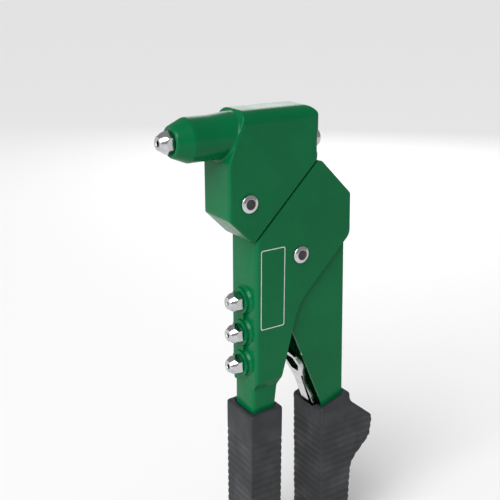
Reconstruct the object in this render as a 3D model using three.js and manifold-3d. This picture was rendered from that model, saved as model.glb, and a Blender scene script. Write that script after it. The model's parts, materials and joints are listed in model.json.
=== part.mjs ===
// Hand riveter with a head that turns a full circle on a 45 degree split face.
//
// Working frame, in millimetres: X runs from the nose to the back of the tool, Y is across it and
// Z is up. The nose axis is the line Y = 0, Z = 0, and the head's front face is X = 0. The finished
// group is moved so that its box is centred on X = Y = 0 and stands on Z = 0.
//
// The swivel frame is the working frame turned 45 degrees about Y and moved to the middle of the
// split face: its X runs up the split face, and its Z is the axis that the head turns about.
//
// The tool is drawn latched shut. Opening the rear handle lets a forked lever push the draw bolt
// up the hollow swivel, the bell crank in the head turns with it, and the jaws run forward until
// the nosepiece opens them. Squeezing does the reverse and pulls the rivet's stem.

import * as THREE from 'three';
import { mergeVertices } from 'three/addons/utils/BufferGeometryUtils.js';
import Module from 'manifold-3d';

const wasm = await Module();
wasm.setup();

// ---------------------------------------------------------------- driving dimensions

const GAP = 0.3;                 // clearance between pieces that touch
const RUN = 0.4;                 // clearance where one piece pushes on another
const BEYOND = 60;               // how far a cutter runs past what it opens
const ARC_STEP = Math.PI / 9;    // the most that one facet of a rounded corner turns

const TOOL_HALF = 12.6;          // half the width of the head and of the front handle
const SPLIT = { x: 34.8, z: -35.0, gap: 0.8 };
const HEAD = {
  rear: 55, top: 12.9, faceTop: -12.5, faceBottom: -40.65, browBack: 9.8,
  wall: 2.6, sideWall: 2.5, topWall: 2.7, topRadius: 6.5, innerRadius: 4,
  frontEdge: 1.2, rearEdge: 3, innerDrop: 3.5,
};
const BARREL = {
  front: -25.5, frontRadius: 7.3, lip: 0.5, lipRadius: 7.9, shoulder: -17.3, radius: 11.15, flare: 12.1,
  bore: 8.8, boreFront: -18.6, throat: -22.4, throatRadius: 5, recess: 0.9, recessRadius: 6.4, end: 12,
  rootStart: -4, rootMiddle: 1, rootRise: 0.35, rootEnd: 7,
};
const PIN = { radius: 3.6, headRadius: 4.7, headLength: 1.3, bevel: 0.8 };
const NOSEPIECE = {
  acrossFlats: 10, hex: 3, length: 7, tipRadius: 3.46, shank: 3.6, shankLength: 2.9, pilot: 2.4,
    pilotLength: 2.4,
};
const BORES = { fitted: 1.45, small: 0.75, medium: 1.05, large: 1.25 };
const SPARES = { top: -89.3, pitch: 18.35, radius: 7.2, foot: 8.2, height: 3, ribHalf: 1.9,
  ribHeight: 1.8, ribPast: 5 };

const PIVOT = { along: -15, crank: 17.9, lever: -28 };
const CRANK = {
  boss: 7.5, nose: 4, noseAt: 17, waist: 3.2, waistAt: 0.6, top: 4, topX: 19.15, sideGap: 0.65,
  armShy: 2, throatBack: 3.2, slotFront: 3.3, slotRear: 8, slotLow: 9, slotHigh: 5, headFront: 1.1,
  headRear: 9.5, headLow: 0.15, headDeep: 7.5,
};
const FORK = {
  boss: 7, nose: 4, noseAt: -27, tail: 4.5, tailX: 47.5, tailZ: -78.9, rivet: 2.3, sideGap: 0.4,
  slotFront: 3.3, slotRear: 8, slotLow: 6, slotHigh: 8, rivetShy: 0.1,
};
const BOLT = { radius: 3, head: 5.5, headLength: 4, nut: 5.6, nutLength: 5.2, tail: 2.9 };
const PLATE = { half: 24.7, thickness: 3.7, mouth: 18.9, ledge: 2.6, screwAt: 21.3, screw: 1.5,
  screwHead: 2.7 };
const BUSH = { boltGap: 0.5, outer: 5.8, collar: 9, collarLength: 3, top: 9 };
const NUT = { radius: 9, length: 4 };
const WASHER = { radius: 8.2, thickness: 0.9 };

const JAWS = {
  caseFront: -9.4, caseRadius: 8, mouthRadius: 5.2, chamferEnd: -6.6, cone: 4.4, coneEnd: 0.6,
    coneEndRadius: 5.8,
  bore: 5.9, jawEnd: 1.7, grip: 1.0, kerf: 0.5, pusher: 3.7, spring: 3.8, springWire: 0.5,
};
const TUBE = { plug: 5.6, plugLength: 2.6, neck: 3.2, flange: 6.4, flangeLength: 3, bore: 1.7, play: 0.6 };
const SEAT = {
  half: 8.5, low: -10, high: 8, thickness: 3.4, hub: 4.2, hubLength: 4, spring: 5.6, springWire: 0.7,
    coils: 8,
  screwStart: 0.5,
};
const SCREW = { z: -6.2, radius: 2.5, head: 4.9, headLength: 8.2, groove: 1.6, socket: 4 };
const EXIT_RADIUS = 2.6;

const BODY = {
  front: 16.2, wall: 1.6, topWall: 3.1, crownX: 55.23, shoulderX: 76.4, shoulderZ: -36.3, heelX: 77.1,
  heelZ: -59.6, waistX: 43.3, waistZ: -93.4, hipX: 33.6, hipZ: -131.6, neckX: 31.3, neckZ: -140.5,
  shankX: 29.2, shankZ: -158, toeX: 28.6, stepTop: -134, stepEnd: -139.5, frontEdge: 2.4, lipZ: -37.5,
};
const HANDLE = { half: 9.5, bottom: -264, leverUp: 6, latchUp: 5.5, frontGripUp: 12, rearGripUp: 14 };
const LEVER = {
  wall: 1.6, sideGap: 0.35, boss: 8.6, noseX: 37.3, noseZ: -100.8, kneeX: 63.4, kneeZ: -162, toeX: 66,
    bottom: HANDLE.bottom + HANDLE.leverUp,
  heelX: 80.3, crownX: 74.4, crownZ: -60,
};
const GRIP = { rubber: 3.3, top: -152, frontBottom: HANDLE.bottom + HANDLE.frontGripUp, rearBottom: HANDLE.bottom + HANDLE.rearGripUp, rimFrontZ: -163.2,
  rimRearZ: -156.4 };
const GUARD = { x: 100, top: -163.5, high: -178.5, low: -192, end: -206 };
const WRENCH = {
  x: 49.97, z: -134.73, lean: 23.1, thickness: 2.5, ring: 8.3, hex: 10.2, neck: 4.4, neckAt: 13,
  shank: 5.5, shankAt: 24, length: 58,
};
const LATCH = { x: 22.5, z: HANDLE.bottom + HANDLE.latchUp, pin: 2, eye: 4, wire: 1.4, barX: 83.4, bend: 5, pinShy: 0.1 };

// ---------------------------------------------------------------- finishes

const finish = (name, color, roughness, metalness) =>
  new THREE.MeshStandardMaterial({ name, color, roughness, metalness });
const ENAMEL = finish('enamel', 0x0a6b39, 0.25, 0.0);
const CHROME = finish('chrome', 0xd8d8da, 0.12, 1.0);
const STEEL = finish('steel', 0x8d9094, 0.35, 1.0);
const BLACKED = finish('blacked_steel', 0x34363a, 0.5, 0.9);
const RUBBER = finish('rubber', 0x33363a, 0.8, 0.0);

// ---------------------------------------------------------------- solids

const AXIS_X = new THREE.Vector3(1, 0, 0);
const AXIS_Y = new THREE.Vector3(0, 1, 0);
const AXIS_Z = new THREE.Vector3(0, 0, 1);

/** Six times the volume inside a list of triangles: negative when they face inwards. */
function enclosed(points, faces) {
  const corner = (i) => new THREE.Vector3().fromArray(points, 3 * i);
  let total = 0;
  for (let i = 0; i < faces.length; i += 3) {
    total += corner(faces[i]).dot(corner(faces[i + 1]).cross(corner(faces[i + 2])));
  }
  return total;
}

/** A closed geometry, placed by a matrix, as a solid that can be joined and cut. */
function solid(geometry, matrix = new THREE.Matrix4()) {
  const bare = geometry.clone();
  bare.deleteAttribute('normal');
  bare.deleteAttribute('uv');
  const merged = mergeVertices(bare, 1e-5);
  const index = Array.from(merged.index.array);
  merged.applyMatrix4(matrix);
  const points = merged.attributes.position.array;
  const faces = [];
  for (let i = 0; i < index.length; i += 3) {
    const [a, b, c] = index.slice(i, i + 3);
    if (a !== b && b !== c && c !== a) faces.push(a, b, c);
  }
  if (enclosed(points, faces) < 0) faces.reverse();
  return new wasm.Manifold(new wasm.Mesh({
    numProp: 3, vertProperties: new Float32Array(points), triVerts: new Uint32Array(faces),
  }));
}

/** Adds a solid to a group as a named mesh. */
function add(group, name, material, body) {
  const data = body.getMesh();
  const geometry = new THREE.BufferGeometry();
  geometry.setAttribute('position', new THREE.BufferAttribute(new Float32Array(data.vertProperties), 3));
  geometry.setIndex(new THREE.BufferAttribute(new Uint32Array(data.triVerts), 1));
  geometry.computeVertexNormals();
  const mesh = new THREE.Mesh(geometry, material.clone());
  mesh.name = name;
  group.add(mesh);
  return mesh;
}

/** Points round an arc, from one angle through a sweep. */
function arc(middle, radius, from, sweep) {
  const steps = Math.max(2, Math.ceil(Math.abs(sweep) / ARC_STEP));
  return Array.from({ length: steps + 1 }, (_, i) => {
    const angle = from + sweep * i / steps;
    return new THREE.Vector2(middle.x + radius * Math.cos(angle), middle.y + radius * Math.sin(angle));
  });
}

/** A closed outline through corners [u, v, radius], with each corner rounded by its radius. */
function outline(corners) {
  const place = (i) => new THREE.Vector2(...corners.at(i % corners.length).slice(0, 2));
  return new THREE.Shape(corners.flatMap(([, , radius = 0], i) => {
    const corner = place(i);
    if (radius === 0) return [corner];
    const back = place(i - 1).sub(corner).normalize();
    const onward = place(i + 1).sub(corner).normalize();
    const half = Math.acos(back.dot(onward)) / 2;
    const inward = back.clone().add(onward).normalize();
    const middle = corner.clone().addScaledVector(inward, radius / Math.sin(half));
    const start = corner.clone().addScaledVector(back, radius / Math.tan(half)).sub(middle);
    const sweep = (Math.PI - 2 * half) * (back.cross(onward) > 0 ? -1 : 1);
    return arc(middle, radius, start.angle(), sweep);
  }));
}

/** A rectangular outline, its corners rounded by one radius. */
function rectangle(left, right, low, high, radius = 0) {
  return outline([[left, low, radius], [right, low, radius], [right, high, radius], [left, high, radius]]);
}

/** The outline of a tapered link with a round end at each of two points. */
function link(from, to, fromRadius, toRadius) {
  const across = to.clone().sub(from);
  const heading = across.angle();
  const lean = Math.acos((fromRadius - toRadius) / across.length());
  return new THREE.Shape([
    ...arc(from, fromRadius, heading + lean, 2 * Math.PI - 2 * lean),
    ...arc(to, toRadius, heading - lean, 2 * lean),
  ]);
}

/** A regular hexagon with the given distance across its flats, and two corners on its u axis. */
function hexagon(acrossFlats) {
  const corner = acrossFlats / Math.sqrt(3);
  return outline(Array.from({ length: 6 }, (_, i) => {
    const angle = i * Math.PI / 3;
    return [corner * Math.cos(angle), corner * Math.sin(angle)];
  }));
}

/** An outline, given depth along +Z and then placed by a matrix. */
function extruded(shape, depth, matrix) {
  return solid(new THREE.ExtrudeGeometry(shape, { depth, bevelEnabled: false }), matrix);
}

/** An outline in X and Z, given thickness along Y. */
function slab(shape, low, high) {
  return extruded(shape, high - low, new THREE.Matrix4().makeRotationX(Math.PI / 2).setPosition(0, high, 0));
}

/** An outline in Y and Z, given length along X. */
function bar(shape, low, high) {
  return extruded(shape, high - low, new THREE.Matrix4().makeBasis(AXIS_Y, AXIS_Z,
    AXIS_X).setPosition(low, 0, 0));
}

/** An outline in X and Y, given height along Z. */
function tower(shape, low, high) {
  return extruded(shape, high - low, new THREE.Matrix4().makeTranslation(0, 0, low));
}

/** A turned piece: profile points [distance along the axis, radius], from axis to axis or closed. */
function turned(profile, axis, place = [0, 0, 0], segments = 24) {
  const points = profile.map(([along, radius]) => new THREE.Vector2(radius, along));
  const toAxis = new THREE.Quaternion().setFromUnitVectors(AXIS_Y, axis);
  const matrix = new THREE.Matrix4().makeRotationFromQuaternion(toAxis).setPosition(...place);
  return solid(new THREE.LatheGeometry(points, segments), matrix);
}

/** A plain round bar between two places on an axis. */
function rod(low, high, radius, axis, place = [0, 0, 0], segments = 20) {
  return turned([[low, 0], [low, radius], [high, radius], [high, 0]], axis, place, segments);
}

/** A turned piece with a hole right through it: outer profile points, and the hole's radius. */
function sleeve(outer, bore, axis, segments = 28) {
  return turned([...outer, [outer.at(-1)[0], bore], [outer[0][0], bore], outer[0]], axis, [0, 0, 0],
    segments);
}

/** A coil spring along X, its wire's middle running from one place to another. */
function coil(low, high, radius, wire, turns) {
  const steps = 12 * turns;
  const points = Array.from({ length: steps + 1 }, (_, i) => {
    const angle = 2 * Math.PI * turns * i / steps;
    return new THREE.Vector3(low + (high - low) * i / steps, radius * Math.cos(angle),
      radius * Math.sin(angle));
  });
  const round = arc(new THREE.Vector2(), wire, 0, 2 * Math.PI).slice(1);
  const section = new THREE.Shape(round.filter((_, i) => i % 3 === 0));
  return solid(new THREE.ExtrudeGeometry(section, {
    steps, bevelEnabled: false, extrudePath: new THREE.CatmullRomCurve3(points),
  }));
}

// ---------------------------------------------------------------- the swivel frame

const swivelTurn = new THREE.Matrix4().makeRotationY(-Math.PI / 4).setPosition(SPLIT.x, 0, SPLIT.z);

/** A point of the swivel frame, as X and Z of the working frame. */
function onSwivel(along, above) {
  const point = new THREE.Vector3(along, 0, above).applyMatrix4(swivelTurn);
  return new THREE.Vector2(point.x, point.z);
}

/** The height, at a given X, of the line that runs a constant height above the split face. */
function splitZ(x, above) {
  return SPLIT.z + x - SPLIT.x + above * Math.SQRT2;
}

/** A box of the swivel frame, centred on Y. */
function swivelBox(left, right, low, high, half) {
  const matrix = swivelTurn.clone().multiply(new THREE.Matrix4().makeTranslation(0, 0, low));
  return extruded(rectangle(left, right, -half, half), high - low, matrix);
}

const halfSplit = SPLIT.gap / 2;
const crankPivot = onSwivel(PIVOT.along, PIVOT.crank);
const leverPivot = onSwivel(PIVOT.along, PIVOT.lever);
const pinHole = PIN.radius + GAP;
const cavityHalf = TOOL_HALF - HEAD.sideWall;
const plateTop = halfSplit + PLATE.thickness;
const ledgeLow = plateTop + GAP;
const ledgeTop = ledgeLow + PLATE.ledge;

/** A hole right across the tool for something that lies along Y. */
function crossHole(radius, x, z) {
  return rod(-BEYOND, BEYOND, radius, AXIS_Y, [x, 0, z]);
}

// ---------------------------------------------------------------- the head

const tipX = (HEAD.faceBottom - splitZ(0, halfSplit)) / 2;
const innerRear = HEAD.rear - HEAD.topWall;
const innerTop = HEAD.top - HEAD.topWall;

function headBlock() {
  const side = outline([
    [0, HEAD.faceTop, 8], [0, HEAD.faceBottom, 2], [tipX, splitZ(tipX, halfSplit), 2.5],
    [HEAD.rear, splitZ(HEAD.rear, halfSplit), 2], [HEAD.rear, HEAD.top, 8], [HEAD.browBack, HEAD.top, 1.5],
  ]);
  const low = HEAD.faceBottom - BEYOND;
  const section = outline([
    [-TOOL_HALF, low], [TOOL_HALF, low], [TOOL_HALF, HEAD.top, HEAD.topRadius],
    [-TOOL_HALF, HEAD.top, HEAD.topRadius],
  ]);
  const plan = outline([
    [0, -TOOL_HALF, HEAD.frontEdge], [HEAD.rear, -TOOL_HALF, HEAD.rearEdge], [HEAD.rear, TOOL_HALF,
      HEAD.rearEdge],
    [0, TOOL_HALF, HEAD.frontEdge],
  ]);
  return slab(side, -BEYOND, BEYOND)
    .intersect(bar(section, -1, HEAD.rear + 1))
    .intersect(tower(plan, low, HEAD.top + 1));
}

function barrel() {
  const lip = BARREL.front + BARREL.lip;
  return turned([
    [BARREL.end, 0], [BARREL.front, 0], [BARREL.front, BARREL.frontRadius], [lip, BARREL.lipRadius],
    [BARREL.shoulder, BARREL.radius], [BARREL.rootStart, BARREL.radius],
    [BARREL.rootMiddle, BARREL.radius + BARREL.rootRise], [BARREL.rootEnd, BARREL.flare],
    [BARREL.end, BARREL.flare], [BARREL.end, 0],
  ], AXIS_X, [0, 0, 0], 36);
}

function headCavity() {
  const chamfer = HEAD.faceBottom + HEAD.sideWall * Math.SQRT2;
  const chamferX = (chamfer - splitZ(0, ledgeTop)) / 2;
  const rearFoot = splitZ(innerRear, halfSplit) + 4.2;
  const mouth = [[1, ledgeTop], [1, -3], [-1, -3], [-1, ledgeTop]].map(([side, above]) => {
    const corner = onSwivel(side * PLATE.mouth, above);
    return [corner.x, corner.y];
  });
  const side = outline([
    [HEAD.wall, chamfer - HEAD.wall], [HEAD.wall, HEAD.faceTop + HEAD.innerDrop], [HEAD.browBack + GAP,
      innerTop],
    [innerRear, innerTop], [innerRear, rearFoot], [rearFoot - splitZ(0, ledgeTop), rearFoot],
    ...mouth, [chamferX, chamfer - chamferX],
  ]);
  const low = HEAD.faceBottom - BEYOND;
  const section = outline([
    [-cavityHalf, low], [cavityHalf, low], [cavityHalf, innerTop, HEAD.innerRadius],
    [-cavityHalf, innerTop, HEAD.innerRadius],
  ]);
  return slab(side, -cavityHalf, cavityHalf).intersect(bar(section, -1, HEAD.rear));
}

function headHousing() {
  const recess = PLATE.half + GAP;
  const seatX = HEAD.rear - SCREW.groove;
  const grooveHalf = SCREW.head + RUN;
  let housing = headBlock().add(barrel()).subtract(headCavity())
    .subtract(turned([
      [BARREL.throat, 0], [BARREL.throat, BARREL.throatRadius], [BARREL.boreFront, BARREL.bore],
      [BARREL.end + 1, BARREL.bore], [BARREL.end + 1, 0],
    ], AXIS_X, [0, 0, 0], 32))
    .subtract(rod(BARREL.front - 1, BARREL.throat + 1, NOSEPIECE.shank + GAP, AXIS_X))
    .subtract(rod(BARREL.front - 1, BARREL.front + BARREL.recess, BARREL.recessRadius, AXIS_X, [0, 0, 0], 28))
    .subtract(crossHole(pinHole, crankPivot.x, crankPivot.y))
    .subtract(swivelBox(-recess, recess, -3, ledgeLow, cavityHalf))
    .subtract(rod(innerRear - 1, HEAD.rear + 1, EXIT_RADIUS, AXIS_X))
    .subtract(rod(innerRear - 1, HEAD.rear + 1, SCREW.radius + GAP, AXIS_X, [0, 0, SCREW.z]))
    .subtract(slab(rectangle(seatX, HEAD.rear + 1, SCREW.z - grooveHalf, SCREW.z + grooveHalf), -BEYOND,
      BEYOND));
  for (const side of [-1, 1]) {
    const foot = onSwivel(side * PLATE.screwAt, 0);
    const axis = new THREE.Vector3(-1, 0, 1).normalize();
    housing = housing.subtract(rod(halfSplit, ledgeTop + 1, PLATE.screw + GAP, axis, [foot.x, 0,
      foot.y], 16));
  }
  return housing;
}

/** The pin that a lever turns on: a round bar along Y with a bevelled head at each end. */
function pivotPin() {
  const seat = TOOL_HALF + GAP;
  const end = seat + PIN.headLength;
  const rim = PIN.headRadius - PIN.bevel;
  return turned([
    [-end, 0], [-end, rim], [PIN.bevel - end, PIN.headRadius], [-seat, PIN.headRadius], [-seat, PIN.radius],
    [seat, PIN.radius], [seat, PIN.headRadius], [end - PIN.bevel, PIN.headRadius], [end, rim], [end, 0],
  ], AXIS_Y);
}

/** A nosepiece, its hexagon standing on the origin and its tip along +Z. */
function nosepiece(bore) {
  const corner = NOSEPIECE.acrossFlats / Math.sqrt(3);
  const cone = turned([
    [-1, 0], [-1, corner + 1], [NOSEPIECE.hex, corner], [NOSEPIECE.length, NOSEPIECE.tipRadius],
    [NOSEPIECE.length, 0],
  ], AXIS_Z);
  const foot = -NOSEPIECE.shankLength - NOSEPIECE.pilotLength;
  return tower(hexagon(NOSEPIECE.acrossFlats), 0, NOSEPIECE.length + 1).intersect(cone)
    .add(rod(-NOSEPIECE.shankLength, 1, NOSEPIECE.shank, AXIS_Z))
    .add(rod(foot, 0, NOSEPIECE.pilot, AXIS_Z))
    .subtract(rod(foot - 1, NOSEPIECE.length + 1, bore, AXIS_Z, [0, 0, 0], 16));
}

/** The plate that closes the head's mouth and holds it down on the swivel, in the swivel frame. */
function swivelPlate() {
  const wide = cavityHalf - GAP;
  let plate = tower(rectangle(-PLATE.half, PLATE.half, -wide, wide), halfSplit, plateTop)
    .subtract(rod(0, BEYOND, BUSH.outer + GAP, AXIS_Z, [0, 0, 0], 28))
    .subtract(rod(0, WASHER.thickness + GAP - 0.1, WASHER.radius + RUN, AXIS_Z, [0, 0, 0], 28));
  const sink = PLATE.screwHead - PLATE.screw;
  for (const side of [-1, 1]) {
    plate = plate.subtract(turned([
      [0, 0], [0, PLATE.screwHead + RUN + halfSplit], [sink + halfSplit, PLATE.screw + RUN],
      [BEYOND, PLATE.screw + RUN], [BEYOND, 0],
    ], AXIS_Z, [side * PLATE.screwAt, 0, 0], 16));
  }
  return plate;
}

function plateScrew() {
  const low = halfSplit + GAP / 2;
  return turned([
    [low, 0], [low, PLATE.screwHead], [low + PLATE.screwHead - PLATE.screw, PLATE.screw],
    [ledgeTop - GAP, PLATE.screw], [ledgeTop - GAP, 0],
  ], AXIS_Z, [0, 0, 0], 16).subtract(tower(hexagon(2 * PLATE.screw * 0.6), 0, low + 0.9));
}

const seatRear = innerRear - GAP;
const seatFront = seatRear - SEAT.thickness;

/** The plate at the back of the head that the return spring pushes against. */
function springSeat() {
  return bar(rectangle(-SEAT.half, SEAT.half, SEAT.low, SEAT.high, 1), seatFront, seatRear)
    .add(rod(seatFront - SEAT.hubLength, seatFront + 1, SEAT.hub, AXIS_X))
    .subtract(rod(-BEYOND, BEYOND * 2, EXIT_RADIUS, AXIS_X))
    .subtract(rod(seatFront - SEAT.screwStart, BEYOND, SCREW.radius + GAP, AXIS_X, [0, 0, SCREW.z]));
}

function seatScrew() {
  const seat = HEAD.rear - SCREW.groove + GAP;
  const end = seat + SCREW.headLength;
  return turned([
    [seatFront + 0.7, 0], [seatFront + 0.7, SCREW.radius], [seat, SCREW.radius], [seat, SCREW.head],
    [end - 0.7, SCREW.head], [end, SCREW.head - 0.7], [end, 0],
  ], AXIS_X, [0, 0, SCREW.z])
    .subtract(extruded(hexagon(SCREW.socket), 4, new THREE.Matrix4()
      .makeBasis(AXIS_Y, AXIS_Z, AXIS_X).setPosition(end - 3, 0, SCREW.z)));
}

// ---------------------------------------------------------------- jaws and what draws them

const crankTop = new THREE.Vector2(CRANK.topX, 0);
const flangeStart = CRANK.topX + CRANK.top + TUBE.play;
const flangeEnd = flangeStart + TUBE.flangeLength;
const caseRear = BARREL.end;
const plugFront = caseRear - TUBE.plugLength;

function jawCase() {
  return turned([
    [JAWS.caseFront, JAWS.cone], [JAWS.caseFront, JAWS.mouthRadius], [JAWS.chamferEnd, JAWS.caseRadius],
    [caseRear, JAWS.caseRadius], [caseRear, JAWS.bore], [JAWS.coneEnd, JAWS.bore],
    [JAWS.coneEnd, JAWS.coneEndRadius], [JAWS.caseFront, JAWS.cone],
  ], AXIS_X, [0, 0, 0], 28);
}

function drawTube() {
  return sleeve([
    [plugFront, TUBE.plug], [caseRear, TUBE.plug], [caseRear, TUBE.neck], [flangeStart, TUBE.neck],
    [flangeStart, TUBE.flange], [flangeEnd, TUBE.flange],
  ], TUBE.bore, AXIS_X);
}

function jaw(index) {
  const front = JAWS.caseFront + 0.1;
  const radius = JAWS.cone - GAP;
  const cone = sleeve([
    [front, radius], [JAWS.coneEnd, JAWS.coneEndRadius - GAP], [JAWS.jawEnd, JAWS.coneEndRadius - GAP],
  ], JAWS.grip, AXIS_X, 30);
  const turn = index * 2 * Math.PI / 3 + Math.PI / 2;
  const reach = 3 * JAWS.bore;
  const root = new THREE.Vector2(JAWS.kerf / Math.sqrt(3), 0).rotateAround(new THREE.Vector2(), turn);
  const rays = [-1, 0, 1].map((part) => [
    root.x + reach * Math.cos(turn + part * Math.PI / 3),
      root.y + reach * Math.sin(turn + part * Math.PI / 3),
  ]);
  return cone.intersect(bar(outline([[root.x, root.y], ...rays]), front - 1, JAWS.jawEnd + 1));
}

const pusherFront = JAWS.jawEnd + GAP;

function jawPusher() {
  const reach = JAWS.bore - GAP - RUN;
  return sleeve([
    [pusherFront, reach - 2], [pusherFront + 1.5, reach], [pusherFront + JAWS.pusher, reach],
  ], TUBE.bore, AXIS_X);
}

function jawSpring() {
  const wire = JAWS.springWire;
  const low = pusherFront + JAWS.pusher + GAP + wire;
  return coil(low, plugFront - GAP - wire, JAWS.spring, wire, 2);
}

function returnSpring() {
  const wire = SEAT.springWire;
  return coil(flangeEnd + RUN + wire, seatFront - RUN - wire, SEAT.spring, wire, SEAT.coils);
}

/** The crank that turns the pull of the draw bolt into a pull on the jaws. */
function bellCrank() {
  const half = cavityHalf - CRANK.sideGap;
  const nose = onSwivel(0, CRANK.noseAt);
  const waist = crankPivot.clone().lerp(crankTop, CRANK.waistAt);
  const along = crankTop.clone().sub(crankPivot).normalize();
  const armLength = crankPivot.distanceTo(crankTop);
  const armHalf = BARREL.bore - CRANK.armShy;
  const start = crankPivot.clone().addScaledVector(along, armLength - TUBE.neck - CRANK.throatBack);
  const side = new THREE.Vector2(-along.y, along.x).multiplyScalar(2 * CRANK.boss);
  const end = start.clone().addScaledVector(along, BEYOND);
  const throat = [start.clone().sub(side), end.clone().sub(side), end.clone().add(side),
    start.clone().add(side)];
  const seat = CRANK.noseAt + CRANK.nose + CRANK.headLow;
  const slot = [-BOLT.radius - CRANK.slotFront, CRANK.slotRear];
  const well = [-BOLT.head - CRANK.headFront, CRANK.headRear];
  return slab(link(crankPivot, nose, CRANK.boss, CRANK.nose), -half, half)
    .add(slab(link(crankPivot, waist, CRANK.boss, CRANK.waist), -half, half))
    .add(slab(link(waist, crankTop, CRANK.waist, CRANK.top), -armHalf, armHalf))
    .subtract(crossHole(pinHole, crankPivot.x, crankPivot.y))
    .subtract(swivelBox(...slot, CRANK.noseAt - CRANK.slotLow, CRANK.noseAt + CRANK.slotHigh,
      BOLT.radius + RUN))
    .subtract(swivelBox(...well, seat, seat + CRANK.headDeep, BOLT.head + RUN))
    .subtract(slab(new THREE.Shape(throat), -TUBE.neck - RUN, TUBE.neck + RUN));
}

// ---------------------------------------------------------------- the draw bolt and the swivel

const boltSeat = CRANK.noseAt + CRANK.nose + RUN;
const nutSeat = FORK.noseAt - FORK.nose - RUN;

function drawBolt() {
  const low = nutSeat - BOLT.nutLength - BOLT.tail;
  const top = boltSeat + BOLT.headLength;
  return turned([
    [low, 0], [low, BOLT.radius - 0.5], [low + 0.5, BOLT.radius], [boltSeat, BOLT.radius],
    [boltSeat, BOLT.head], [top, BOLT.head], [top, 0],
  ], AXIS_Z);
}

function drawNut() {
  const low = nutSeat - BOLT.nutLength;
  return tower(hexagon(BOLT.nut * Math.sqrt(3)), low, nutSeat)
    .subtract(rod(low - 1, nutSeat + 1, BOLT.radius + GAP, AXIS_Z));
}

function swivelBush() {
  const seat = -halfSplit - BODY.topWall - GAP;
  return sleeve([
    [seat - BUSH.collarLength, BUSH.collar], [seat, BUSH.collar], [seat, BUSH.outer], [BUSH.top, BUSH.outer],
  ], BOLT.radius + BUSH.boltGap, AXIS_Z);
}

function swivelNut() {
  const low = plateTop + GAP;
  return sleeve([[low, NUT.radius], [low + NUT.length, NUT.radius]], BUSH.outer + GAP, AXIS_Z);
}

function swivelWasher() {
  const low = GAP - halfSplit;
  return sleeve([[low, WASHER.radius], [low + WASHER.thickness, WASHER.radius]], BUSH.outer + GAP, AXIS_Z);
}

// ---------------------------------------------------------------- the front handle

function spareHeight(index) {
  return SPARES.top - index * SPARES.pitch;
}

/** The front handle seen from the front, each wall moved in by an inset. */
function bodySection(inset) {
  const wide = TOOL_HALF - inset;
  const narrow = HANDLE.half - inset;
  return outline([
    [-narrow, HANDLE.bottom - 2], [narrow, HANDLE.bottom - 2], [narrow, BODY.stepEnd, 4], [wide,
      BODY.stepTop, 4],
    [wide, 0], [-wide, 0], [-wide, BODY.stepTop, 4], [-narrow, BODY.stepEnd, 4],
  ]);
}

function bodyPlan(half) {
  return outline([
    [BODY.front, -half, BODY.frontEdge], [BEYOND * 2, -half], [BEYOND * 2, half], [BODY.front, half,
      BODY.frontEdge],
  ]);
}

function frontHandleShell() {
  const side = outline([
    [BODY.front, HANDLE.bottom], [BODY.toeX, HANDLE.bottom], [BODY.shankX, BODY.shankZ], [BODY.neckX,
      BODY.neckZ, 2],
    [BODY.hipX, BODY.hipZ, 3], [BODY.waistX, BODY.waistZ, 28], [BODY.heelX, BODY.heelZ, 6],
    [BODY.shoulderX, BODY.shoulderZ, 3], [BODY.crownX, splitZ(BODY.crownX, -halfSplit), 2.5],
    [BODY.front, splitZ(BODY.front, -halfSplit), 1],
  ]);
  const innerAbove = -halfSplit - BODY.topWall;
  const front = BODY.front + BODY.wall;
  const roof = BODY.shoulderX + BODY.shoulderZ - BODY.wall * Math.SQRT2;
  const ridgeX = (roof - splitZ(0, innerAbove)) / 2;
  const far = BODY.heelX + BEYOND;
  const hollow = outline([
    [front, HANDLE.bottom - 2], [far, HANDLE.bottom - 2], [far, BODY.lipZ], [roof - BODY.lipZ, BODY.lipZ],
    [ridgeX, splitZ(ridgeX, innerAbove)], [front, splitZ(front, innerAbove)],
  ]);
  let shell = slab(side, -TOOL_HALF, TOOL_HALF)
    .intersect(bar(bodySection(0), BODY.front - 1, BODY.heelX + 1))
    .intersect(tower(bodyPlan(TOOL_HALF), BODY.stepEnd, 0)
      .add(tower(bodyPlan(HANDLE.half), -BEYOND * 5, BODY.stepEnd)))
    .subtract(slab(hollow, -BEYOND, BEYOND).intersect(bar(bodySection(BODY.wall), front - 1, far)));
  const face = BODY.front - SPARES.height;
  shell = shell.add(tower(
    rectangle(BODY.front - SPARES.ribHeight, front, -SPARES.ribHalf, SPARES.ribHalf),
    spareHeight(2) - SPARES.ribPast, spareHeight(0) + SPARES.ribPast,
  ));
  for (const index of [0, 1, 2]) {
    shell = shell.add(turned([
      [face, 0], [face, SPARES.radius], [face + 1.8, SPARES.radius], [BODY.front, SPARES.foot],
      [front, SPARES.foot], [front, 0],
    ], AXIS_X, [0, 0, spareHeight(index)]));
  }
  for (const index of [0, 1, 2]) {
    shell = shell.subtract(rod(face - 1, front + 1, NOSEPIECE.shank + GAP, AXIS_X, [0, 0,
      spareHeight(index)]));
  }
  return shell
    .subtract(crossHole(pinHole, leverPivot.x, leverPivot.y))
    .subtract(crossHole(LATCH.pin + GAP, LATCH.x, LATCH.z))
    .subtract(rod(innerAbove - 1, 2, BUSH.outer + GAP, new THREE.Vector3(-1, 0, 1).normalize(),
      [SPLIT.x, 0, SPLIT.z], 28));
}

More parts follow.
